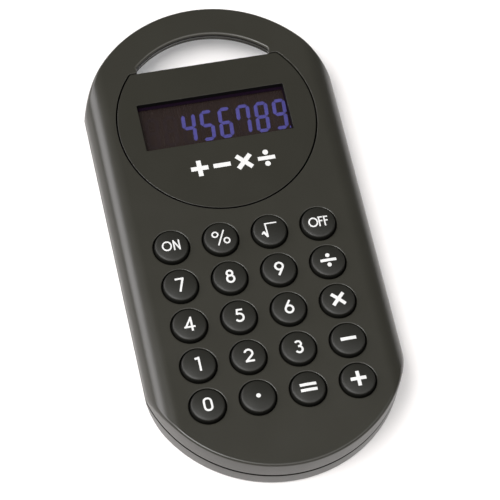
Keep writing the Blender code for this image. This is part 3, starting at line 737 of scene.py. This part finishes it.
def digit_six(turn):
    """A six, or turned round a nine."""
    bowl = ring_of((0, -0.48 * turn), 0.87, 0.48)
    tail = ribbon([(0.42 * turn, 1.75 * turn), (-0.8 * turn, -0.1 * turn)], 0.48)
    return [bowl, tail]


def signs():
    """Each key's sign, as a list of shapes. A shape is one outline, or an outer and an inner one. Its points
    are millimetres from the key's centre."""
    pen = 0.47
    two = arc((0, 0.5), 0.88, 165, -35, 14) + [(-0.7, -1.3)]
    three_high = arc((-0.03, 0.72), 0.66, 150, -100, 14)
    three_low = arc((-0.03, -0.62), 0.76, 100, -155, 14)
    five_bowl = arc((-0.08, -0.46), 0.92, 118, -150, 16)
    return {
        "key_on": [letter_o(-1.12, 0.98), *letter_n(0.5, 1.25)],
        "key_off": [letter_o(-1.28, 0.95), *letter_f(0.12), *letter_f(1.38)],
        "key_percent": [
            ring_of((-1.22, 0.92), 0.64, LETTER_PEN),
            ring_of((1.22, -0.92), 0.64, LETTER_PEN),
            ribbon([(-0.9, -1.85), (0.95, 1.85)], 0.33),
        ],
        "key_root": [
            ribbon([(-2.0, -0.95), (-1.58, -0.35)], 0.33),
            ribbon([(-1.62, -0.3), (-0.8, -1.7)], 0.5),
            ribbon([(-0.78, -1.8), (-0.88, 1.78)], 0.33),
            ribbon([(-1.04, 1.62), (1.85, 1.62)], 0.33),
        ],
        "key_divide": [bar((0, 0), 3.7, 0.68), dot((0, 1.2), 0.5), dot((0, -1.2), 0.5)],
        "key_multiply": [bar((0, 0), 3.95, 0.8, 45), bar((0, 0), 3.95, 0.8, -45)],
        "key_minus": [bar((0, 0), 3.6, 0.78)],
        "key_plus": [bar((0, 0), 3.6, 0.82), bar((0, 0), 3.6, 0.82, 90)],
        "key_equals": [bar((0, 0.66), 3.8, 0.7), bar((0, -0.66), 3.8, 0.7)],
        "key_point": [dot((0, 0), 0.52)],
        "key_0": [ribbon(rounded_box((-0.84, 0.84, -1.42, 1.42), 0.78), pen, closed=True)],
        "key_1": [ribbon([(0.2, -1.75), (0.2, 1.72)], pen), ribbon([(0.3, 1.42), (-0.7, 1.28)], 0.55)],
        "key_2": [ribbon(two, pen), ribbon([(-1.0, -1.4), (1.1, -1.4)], pen)],
        "key_3": [ribbon(three_high, pen), ribbon(three_low, pen)],
        "key_4": [
            ribbon([(0.42, -1.75), (0.42, 1.72)], pen),
            ribbon([(0.42, 1.45), (-0.98, -0.72)], pen * 0.9),
            ribbon([(-1.35, -0.75), (1.2, -0.75)], pen * 0.9),
        ],
        "key_5": [
            ribbon([(0.9, 1.42), (-0.55, 1.42)], pen * 0.95),
            ribbon([(-0.36, 1.5), (-0.56, 0.25)], pen * 0.9),
            ribbon(five_bowl, pen),
        ],
        "key_6": digit_six(1),
        "key_7": [ribbon([(-1.1, 1.42), (0.95, 1.42)], pen), ribbon([(0.72, 1.42), (-0.38, -1.75)], pen)],
        "key_8": [ring_of((0, 0.78), 0.65, pen), ring_of((0, -0.62), 0.83, pen)],
        "key_9": digit_six(-1),
    }


def printed(skin, shapes, surface, slot, centre=(0, 0), spacing=0.45):
    """Ink laid on a surface: the union of the shapes, at the height that surface(x, y) gives."""
    outlines = [divided(loop, spacing) for shape in shapes for loop in shape]
    loops = [[(x + centre[0], y + centre[1]) for x, y in outline] for outline in outlines]
    every = np.array([p for loop in loops for p in loop])
    low, high = every.min(axis=0), every.max(axis=0)
    grid = [
        (x, y)
        for x in np.arange(low[0] + spacing / 3, high[0], spacing)
        for y in np.arange(low[1] + spacing / 3, high[1], spacing)
    ]
    points, triangles, centres = triangulated(loops, grid)
    keep = np.zeros(len(centres), bool)
    at = 0
    for shape in shapes:
        covered = np.zeros(len(centres), bool)
        for _ in shape:
            covered ^= inside(centres, loops[at])
            at += 1
        keep |= covered
    for triangle, kept in zip(triangles, keep):
        if kept:
            skin.face([(*points[i], surface(*points[i])) for i in triangle], slot)


# ---- Keys ----


def crown(x, y):
    """Height of a key's crowned top."""
    share = min((x * x + y * y) / CROWN_EDGE**2, 1)
    return CROWN_LOW + CROWN_RISE * (1 - share)


def key_profile():
    """Radius and height up the outside of a key, from its flange to its crown. Also returns how many of its
    points belong to the skirt, whose matte colour is darkened as painted shade."""
    flange, flange_low, flange_high, chamfer = 4.7, 7.6, 8.2, 0.05
    shoulder_steps, crown_steps = 6, 9
    shoulder_low = FACE + 0.2
    profile = [(0, flange_low), (flange - chamfer, flange_low), (flange, flange_low + chamfer)]
    profile += [(flange, flange_high - chamfer), (flange - chamfer, flange_high)]
    profile += [(SKIRT, flange_high), (SKIRT, FACE + 0.1)]
    slope = math.atan(2 * CROWN_RISE / CROWN_EDGE)
    for i in range(shoulder_steps + 1):
        a = (math.pi / 2 - slope) * i / shoulder_steps
        across = (1 - math.cos(a)) / (1 - math.sin(slope))
        up = math.sin(a) / math.cos(slope)
        radius = SKIRT - (SKIRT - CROWN_EDGE) * across
        profile.append((radius, shoulder_low + (CROWN_LOW - shoulder_low) * up))
    skirt_points = len(profile) - 2
    for i in range(1, crown_steps + 1):
        radius = CROWN_EDGE * (1 - i / crown_steps)
        profile.append((radius, crown(radius, 0)))
    return profile, skirt_points


def turned(profile, centre=(0, 0), steps=64):
    """The rings of a turned shape. profile gives each one's radius and height."""
    return [lifted(circle(radius, centre, steps), z) for radius, z in profile]


def make_keys(materials):
    profile, skirt_points = key_profile()
    rings = turned(profile)
    drawn = signs()
    for name, centre in KEY_CENTRES.items():
        skin = Skin()
        # The skirt and shoulder take the skirt colour: matte, and darkened as painted shade.
        skin.stack(rings[:skirt_points], 2)
        skin.stack(rings[skirt_points - 1 :])
        printed(skin, drawn[name], lambda x, y: crown(x, y) + 2 * INK_RISE, 1)
        piece = skin.made(name.replace("key_", "keycap_"), materials, 50, (*centre, 0))
        attach(piece, name, name)


# ---- Battery door, screws and keypad mat ----


def strip_solid(skin, side, x0, x1):
    """A solid with the same outline all along x. side gives its y and z, in order."""
    low = [(x0, y, z) for y, z in side]
    high = [(x1, y, z) for y, z in side]
    skin.strip(low, high)
    skin.face(low)
    skin.face(high)


def battery_door(materials):
    """The door's plate, with a thumb recess and grip ridges on its outside and two tabs at its hinge end."""
    skin = Skin()
    low, high, thumb_high = 0.15, 1.0, 0.52
    outline = rounded_box(DOOR, 0.85)
    rings = edge_rings(outline, 0.22, low, way=-1)
    rings.append(lifted(outline, high))
    skin.stack(rings)

    thumb = rounded_box((-4.6, 4.6, 3.4, 8.6), 1.6)
    opening = lifted(outward(thumb, SUPPORT), low)
    thumb_floor = outward(thumb, -0.6)
    slope = [lifted(thumb, low + 0.01), lifted(outward(thumb, -0.45), thumb_high - 0.02)]
    skin.stack([opening, *slope, lifted(thumb_floor, thumb_high)])
    skin.fill(thumb_floor, [], thumb_high)
    skin.fill(rings[0], [opening], low)
    skin.fill(outline, [], high)

    for i in range(4):
        y = 4.5 + i
        half = 3.1 if i in (0, 3) else 3.5
        before = [(y - 0.32, 0.6), (y - 0.2, 0.3), (y - 0.08, 0.2)]
        after = [(y + 0.08, 0.2), (y + 0.2, 0.3), (y + 0.32, 0.6)]
        strip_solid(skin, before + after, -half, half)
    tab = [(18.6, 0.6), (20.0, 0.6), (20.0, 1.6), (21.8, 1.6), (22.0, 1.7), (22.0, 2.0)]
    tab += [(21.85, 2.1), (18.9, 2.1), (18.6, 1.8)]
    for x in (-4.0, 4.0):
        strip_solid(skin, tab, x - 1.5, x + 1.5)
    attach(skin.made("battery_cover", materials), "battery_door", "battery_door")


def cross(centre, size, width):
    """Outline of a cross, anticlockwise."""
    a, b = size / 2, width / 2
    points = []
    for quarter in range(4):
        cos, sin = math.cos(math.pi / 2 * quarter), math.sin(math.pi / 2 * quarter)
        turned_corner = [(x * cos - y * sin, x * sin + y * cos) for x, y in ((a, -b), (a, b), (b, b))]
        points += [(x + centre[0], y + centre[1]) for x, y in turned_corner]
    return points


def round_place(node):
    """Centre, radius, base and top of an upright round node."""
    low, high = (np.array(corner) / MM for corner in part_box(node))
    centre = ((low[0] + high[0]) / 2, (low[1] + high[1]) / 2)
    return centre, (high[0] - low[0]) / 2, low[2], high[2]


def screw(name, node, head, shank, materials):
    """A pan-head screw with a cross recess and a threaded shank, standing on its head."""
    centre, radius, base, tip = round_place(node)
    neck = base + head
    pitch, core = 0.45, shank * 0.76
    profile = [(radius * 0.72, base), (radius * 0.88, base + 0.06), (radius * 0.97, base + 0.2)]
    profile += [(radius, base + 0.4), (radius, neck - 0.05), (radius - 0.05, neck), (shank, neck)]
    level = neck + 0.3
    while level < tip - 0.9:
        profile += [(core, level), (core, level + 0.1), (shank, level + 0.22), (shank, level + 0.27)]
        level += pitch
    profile += [(shank * 0.72, level), (shank * 0.2, tip)]

    skin = Skin()
    rings = turned(profile, centre, 40)
    skin.stack(rings)
    skin.fill(rings[-1], [], tip)
    recess_top = base + head * 0.55
    wide = cross(centre, radius * 1.15, radius * 0.3)
    deep = cross(centre, radius * 0.7, radius * 0.22)
    skin.stack([lifted(wide, base), lifted(deep, recess_top)])
    skin.fill(deep, [], recess_top)
    skin.fill(rings[0], [wide], base)
    attach(skin.made(name, materials), BODY, node)


def button_cell(materials):
    """A can with a rolled edge, crimped over a seal round a smaller lid. Its base faces the door."""
    centre, radius, base, top = round_place("button_cell")
    can = [(0, base + 0.04), (radius * 0.72, base + 0.04), (radius * 0.76, base), (radius - 0.35, base)]
    can += [(radius - 0.12, base + 0.05), (radius - 0.03, base + 0.15), (radius, base + 0.35)]
    can += [(radius, top - 0.5), (radius - 0.05, top - 0.34), (radius - 0.2, top - 0.22)]
    can += [(radius - 0.55, top - 0.18)]
    seal = [can[-1], (radius - 0.62, top - 0.26), (radius - 0.75, top - 0.26)]
    lid = [seal[-1], (radius - 0.82, top - 0.1), (radius - 1.0, top), (0, top)]
    skin = Skin()
    for profile, slot in ((can, 0), (seal, 1), (lid, 0)):
        skin.stack(turned(profile, centre, 96), slot)
    attach(skin.made("coin_cell", materials, 30), BODY, "button_cell")


def keypad_web(materials):
    """The mat's web, which stays put. Its lower end follows the casing's round end."""
    low, high = (np.array(corner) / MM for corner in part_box("keypad_mat"))
    x1, y0, y1 = high[0], low[1], high[1]
    end = (0, KEYPAD_END_RADIUS - HALF_LENGTH)
    end_radius, corner = 28.4, 1
    first = math.degrees(math.asin(x1 / end_radius))
    flat = math.degrees(math.acos((end[1] - y0) / end_radius))
    outline = arc(end, end_radius, -90 - first, -90 - flat, 8)
    outline += arc(end, end_radius, -90 + flat, -90 + first, 8)
    outline += arc((x1 - corner, y1 - corner), corner, 0, 90, 6)
    outline += arc((corner - x1, y1 - corner), corner, 90, 180, 6)
    skin = Skin()
    rings = [lifted(outline, WEB_LOW)] + edge_rings(outline, 0.15, WEB_TOP)[::-1]
    skin.stack(rings)
    holes = [circle(2.0, centre, 32) for centre in BOARD_SCREWS]
    for hole in holes:
        skin.stack([lifted(hole, WEB_LOW), lifted(hole, WEB_TOP)])
    skin.fill(outline, holes, WEB_LOW)
    skin.fill(rings[-1], holes, WEB_TOP)
    attach(skin.made("keypad_web", materials), BODY, "keypad_mat")


def keypad_domes(materials):
    """A dome under each key, fixed to the body."""
    profile = [(0, WEB_TOP), (3.45, WEB_TOP), (3.3, WEB_TOP + 0.1), (2.95, WEB_TOP + 0.28)]
    profile += [(2.55, DOME_TOP - 0.2), (2.3, DOME_TOP - 0.04), (2.1, DOME_TOP)]
    profile += [(1.1, DOME_TOP), (0.95, DOME_TOP - 0.06), (0, DOME_TOP - 0.08)]
    for name, (x, y) in KEY_CENTRES.items():
        skin = Skin()
        skin.stack(turned(profile, steps=40))
        piece = skin.made(name.replace("key_", "dome_"), materials, 50, (x, y, 0))
        attach(piece, BODY)
        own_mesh(piece)


# ---- Materials ----


class Surface:
    """A Principled material with helpers for its procedural detail."""

    def __init__(self, name, colour, roughness, **sockets):
        self.material = bpy.data.materials.new(name)
        self.material.use_nodes = True
        self.nodes = self.material.node_tree.nodes
        self.links = self.material.node_tree.links
        self.shader = self.nodes["Principled BSDF"]
        self.shader.inputs["Base Color"].default_value = (*colour, 1)
        self.shader.inputs["Roughness"].default_value = roughness
        for socket, value in sockets.items():
            self.shader.inputs[socket.replace("_", " ")].default_value = value
        self.place = self.nodes.new("ShaderNodeTexCoord").outputs["Object"]

    def noise(self, size_mm, detail=3.0, stretch=(1, 1, 1)):
        """Noise whose grains are about this big."""
        mapping = self.nodes.new("ShaderNodeMapping")
        mapping.inputs["Scale"].default_value = [1 / (size_mm * MM) * s for s in stretch]
        self.links.new(self.place, mapping.inputs["Vector"])
        noise = self.nodes.new("ShaderNodeTexNoise")
        noise.inputs["Scale"].default_value = 1.0
        noise.inputs["Detail"].default_value = detail
        self.links.new(mapping.outputs["Vector"], noise.inputs["Vector"])
        return noise.outputs["Fac"]

    def ranged(self, value, low, high, start=0.3, end=0.7):
        """A value between start and end, spread over low to high."""
        ranger = self.nodes.new("ShaderNodeMapRange")
        ranger.inputs["From Min"].default_value = start
        ranger.inputs["From Max"].default_value = end
        ranger.inputs["To Min"].default_value = low
        ranger.inputs["To Max"].default_value = high
        self.links.new(value, ranger.inputs["Value"])
        return ranger.outputs["Result"]

    def mixed(self, share, first, second):
        """A colour between two others."""
        mix = self.nodes.new("ShaderNodeMix")
        mix.data_type = "RGBA"
        for socket, colour in (("A", first), ("B", second)):
            target = [i for i in mix.inputs if i.name == socket and i.type == "RGBA"][0]
            target.default_value = (*colour, 1)
        self.links.new(share, mix.inputs["Factor"])
        return [o for o in mix.outputs if o.type == "RGBA"][0]

    def grain(self, height, strength, distance_mm):
        bump = self.nodes.new("ShaderNodeBump")
        bump.inputs["Strength"].default_value = strength
        bump.inputs["Distance"].default_value = distance_mm * MM
        self.links.new(height, bump.inputs["Height"])
        self.links.new(bump.outputs["Normal"], self.shader.inputs["Normal"])

    def paint(self, colour):
        self.links.new(colour, self.shader.inputs["Base Color"])

    def polish(self, roughness):
        self.links.new(roughness, self.shader.inputs["Roughness"])


def plastic(name, colour, roughness, grain_mm=0.35, bump=0.25, cloud=1.25, **sockets):
    """Moulded plastic: fine spark-eroded grain, handling marks in its gloss, and faint lighter clouds."""
    made = Surface(name, colour, roughness, **sockets)
    lighter = tuple(min(c * cloud, 1) for c in colour)
    made.paint(made.mixed(made.ranged(made.noise(14.0, 2.0), 0.0, 0.25), colour, lighter))
    made.polish(made.ranged(made.noise(8.0, 2.0), roughness - 0.015, roughness + 0.025, 0.25, 0.75))
    made.grain(made.noise(grain_mm, 2.0), bump, 0.02)
    return made.material


def simple(name, colour, roughness, size_mm=2.0, spread=0.15, bump=0.1, stretch=(1, 1, 1), **sockets):
    """A lesser material: some mottling in its colour and gloss, and a slight grain."""
    made = Surface(name, colour, roughness, **sockets)
    share = made.ranged(made.noise(size_mm, 4.0, stretch), 0.0, 1.0)
    dark = tuple(c * (1 - spread) for c in colour)
    light = tuple(min(c * (1 + spread), 1) for c in colour)
    made.paint(made.mixed(share, dark, light))
    made.polish(made.ranged(made.noise(size_mm * 0.6, 3.0, stretch), roughness * 0.85, roughness * 1.15))
    made.grain(made.noise(size_mm * 0.3, 2.0, stretch), bump, 0.02)
    return made.material


def clear_window():
    """The smoked lens: mostly see-through, with faint waves in its gloss."""
    made = Surface("window", (0.02, 0.014, 0.015), 0.06, Alpha=0.12, IOR=1.45)
    made.polish(made.ranged(made.noise(5.0), 0.05, 0.09))
    made.grain(made.noise(6.0, 2.0), 0.01, 0.02)
    return made.material


def make_materials():
    key_black, skirt_shaded_black = (0.0118, 0.0116, 0.0090), (0.0055, 0.0055, 0.004)
    display_brown, faint_brown = (0.0208, 0.0132, 0.0105), (0.0200, 0.0132, 0.0130)
    streaks = (1, 0.15, 1)
    return {
        "casing": plastic("casing_plastic", (0.0232, 0.0223, 0.0170), 0.29),
        # The gap colour is painted shade: joints, key holes, the lip groove, the panel's and window's walls.
        "gap": simple("seam_shadow", (0.0036, 0.0028, 0.0032), 0.75, 2.0, 0.1, Specular_IOR_Level=0.15),
        # The edge colour is lighter plastic, a painted highlight on the handle lip's rim and the wall under
        # its groove.
        "edge": plastic("casing_edge_painted_highlight", (0.045, 0.043, 0.036), 0.32),
        "panel": plastic("panel_plastic", (0.0198, 0.0190, 0.0140), 0.29),
        "keys": plastic("key_plastic", key_black, 0.42, 0.40, 0.55, 1.15, Specular_IOR_Level=0.33),
        # The skirt's black is darker than the keys' as painted shade; its rougher finish is the matte side.
        "skirt": plastic("key_skirt_matte_shaded", skirt_shaded_black, 0.6, 0.45, 0.2, 1.15, Specular_IOR_Level=0.25),
        "ink": simple("printed_ink", (0.62, 0.62, 0.61), 0.5, 1.0, 0.03),
        "window": clear_window(),
        "display": simple("display_face", display_brown, 0.25, 1.2, 0.12, 0.0, streaks),
        "lit": simple("display_lit", (0.078, 0.072, 0.30), 0.4, 0.8, 0.1, 0.0),
        "faint": simple("display_faint", faint_brown, 0.25, 1.2, 0.12, 0.0, streaks),
        # Painted shade: the dark band round the window.
        "window_shade": simple("window_shade_paint", (0.0050, 0.0012, 0.0062), 0.6, 0.8, 0.1, Specular_IOR_Level=0.06),
        "film": simple("film", (0.3, 0.3, 0.32), 0.4),
        "ribbon": simple("ribbon", (0.45, 0.28, 0.10), 0.45, 1.0, 0.3, 0.1, (1, 0.1, 1)),
        "board": simple("board", (0.02, 0.15, 0.055), 0.4, 1.5, 0.35, 0.2),
        "rubber": simple("rubber", (0.33, 0.33, 0.34), 0.7, 3.0, 0.08, 0.15),
        "epoxy": simple("epoxy", (0.012, 0.012, 0.013), 0.25, 3.0, 0.1, 0.1),
        "ceramic": simple("ceramic", (0.42, 0.33, 0.22), 0.5, 0.6, 0.15),
        "steel": simple("steel", (0.55, 0.55, 0.56), 0.3, 1.6, 0.06, 0.04, (1, 1, 6), Metallic=1.0),
        "cell": simple("cell_steel", (0.58, 0.58, 0.57), 0.3, 6.0, 0.05, 0.015, Metallic=1.0),
        "contact": simple("contact", (0.75, 0.6, 0.32), 0.3, 1.2, 0.06, 0.05, (1, 4, 1), Metallic=1.0),
    }


# CAD nodes that are shown as they are, with their materials.
CARRIED = {
    "circuit_board": "board",
    "lcd_glass": "display",
    "lcd_reflector": "film",
    "lcd_ribbon": "ribbon",
    "chip_cover": "epoxy",
    "clock_resistor": "epoxy",
    "supply_capacitor": "ceramic",
    "contact_negative": "contact",
    "contact_positive": "contact",
}


def dress_carried(materials):
    for node, name in CARRIED.items():
        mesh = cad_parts[node].data
        mesh.materials.clear()
        mesh.materials.append(materials[name])


# ---- Build ----


def printed_mark(materials):
    """A generic row of the four arithmetic signs, printed under the window."""
    centre_x, centre_y, pitch = 1.3, 16.9, 5.3
    length, pen = 4.1, 1.1
    top = FACE + 1.5 * INK_RISE
    row = (
        [bar((0, 0), length, pen), bar((0, 0), length, pen, 90)],
        [bar((0, 0), length, pen)],
        [bar((0, 0), 4.7, pen, 45), bar((0, 0), 4.7, pen, -45)],
        [bar((0, 0), length, 1.0), dot((0, 1.5), 0.66), dot((0, -1.5), 0.66)],
    )
    skin = Skin()
    for index, shapes in enumerate(row):
        place = (centre_x + (index - 1.5) * pitch, centre_y)
        printed(skin, shapes, lambda x, y: top, 0, place, 2.0)
    attach(skin.made("printed_mark", materials), BODY)


def build(materials):
    def some(*names):
        return [materials[name] for name in names]

    casing = some("casing", "gap", "edge")
    attach(front_casing(casing), BODY, "front_casing")
    attach(rear_casing(casing), BODY, "rear_casing")
    attach(display_panel(some("panel", "gap")), BODY, "display_panel")
    lens = slab("window_lens", LENS, 0.4, LENS_LOW, LENS_HIGH, 0.1, some("window"))
    face = slab("display_front", DISPLAY, 0.2, DISPLAY_LOW, DISPLAY_HIGH, 0.05, some("display"))
    attach(lens, BODY, "display_window")
    attach(face, BODY, "lcd_polariser")
    attach(display_digits(*some("lit", "faint")), BODY)
    attach(window_shade_band(materials["window_shade"]), BODY)
    printed_mark(some("ink"))

    make_keys(some("keys", "ink", "skirt"))
    keypad_web(some("rubber"))
    keypad_domes(some("rubber"))
    battery_door(some("casing"))
    button_cell(some("cell", "epoxy"))
    for number in range(1, 5):
        screw(f"case_screw_{number}", f"casing_screw_{number}", 1.2, 0.85, some("steel"))
        screw(f"pcb_screw_{number}", f"board_screw_{number}", 0.85, 0.8, some("steel"))
    dress_carried(materials)


def area_light(name, location, size, power, colour=(1, 1, 1)):
    """A lamp that is aimed at the origin."""
    data = bpy.data.lights.new(name, "AREA")
    data.shape = "RECTANGLE"
    data.size, data.size_y = size
    data.energy = power
    data.color = colour
    lamp = bpy.data.objects.new(name, data)
    bpy.context.scene.collection.objects.link(lamp)
    lamp.location = location
    lamp.rotation_euler = (-Vector(location)).to_track_quat("-Z", "Y").to_euler()


def studio():
    """A plain pale floor, a faint even sky and four soft lamps."""
    floor_size, floor_z = 6, -0.0002
    world = bpy.data.worlds.new("studio")
    world.use_nodes = True
    background = world.node_tree.nodes["Background"]
    background.inputs["Color"].default_value = (1, 1, 1, 1)
    background.inputs["Strength"].default_value = 0.12
    bpy.context.scene.world = world

    bpy.ops.mesh.primitive_plane_add(size=floor_size, location=(0, 0, floor_z))
    floor = bpy.context.object
    floor.name = "floor"
    paper = Surface("floor_paper", (0.77, 0.74, 0.725), 0.9, Emission_Strength=0.21)
    paper.shader.inputs["Emission Color"].default_value = (0.94, 0.97, 1.0, 1)
    floor.data.materials.append(paper.material)

    area_light("key_light", (-0.45, -0.15, 1.0), (0.62, 0.62), 12.5)
    area_light("side_light", (-0.78, 0.42, 0.46), (0.9, 0.46), 7.2, (1, 0.975, 1))
    area_light("fill_light", (0.40, -0.24, 0.92), (0.75, 0.75), 3.0)
    area_light("front_light", (0.05, -0.72, 0.78), (0.7, 0.5), 2.2, (1, 0.94, 0.92))
    bpy.context.scene.view_settings.view_transform = "Standard"


def camera():
    """A long lens, high above the keypad end and a little to the left."""
    place = (-0.1005, -0.27668, 0.58384)
    right = Vector((0.9744, -0.2133, 0.0705)).normalized()
    forward = Vector((0.1570, 0.4217, -0.8931)).normalized()
    data = bpy.data.cameras.new("camera")
    data.sensor_width = 36
    data.lens = 202.2
    data.clip_start = 0.01
    shooter = bpy.data.objects.new("camera", data)
    bpy.context.scene.collection.objects.link(shooter)
    up = right.cross(forward).normalized()
    turn = Matrix((right, up, -forward)).transposed()
    shooter.matrix_world = Matrix.Translation(place) @ turn.to_4x4()
    bpy.context.scene.camera = shooter


build(make_materials())
studio()
camera()
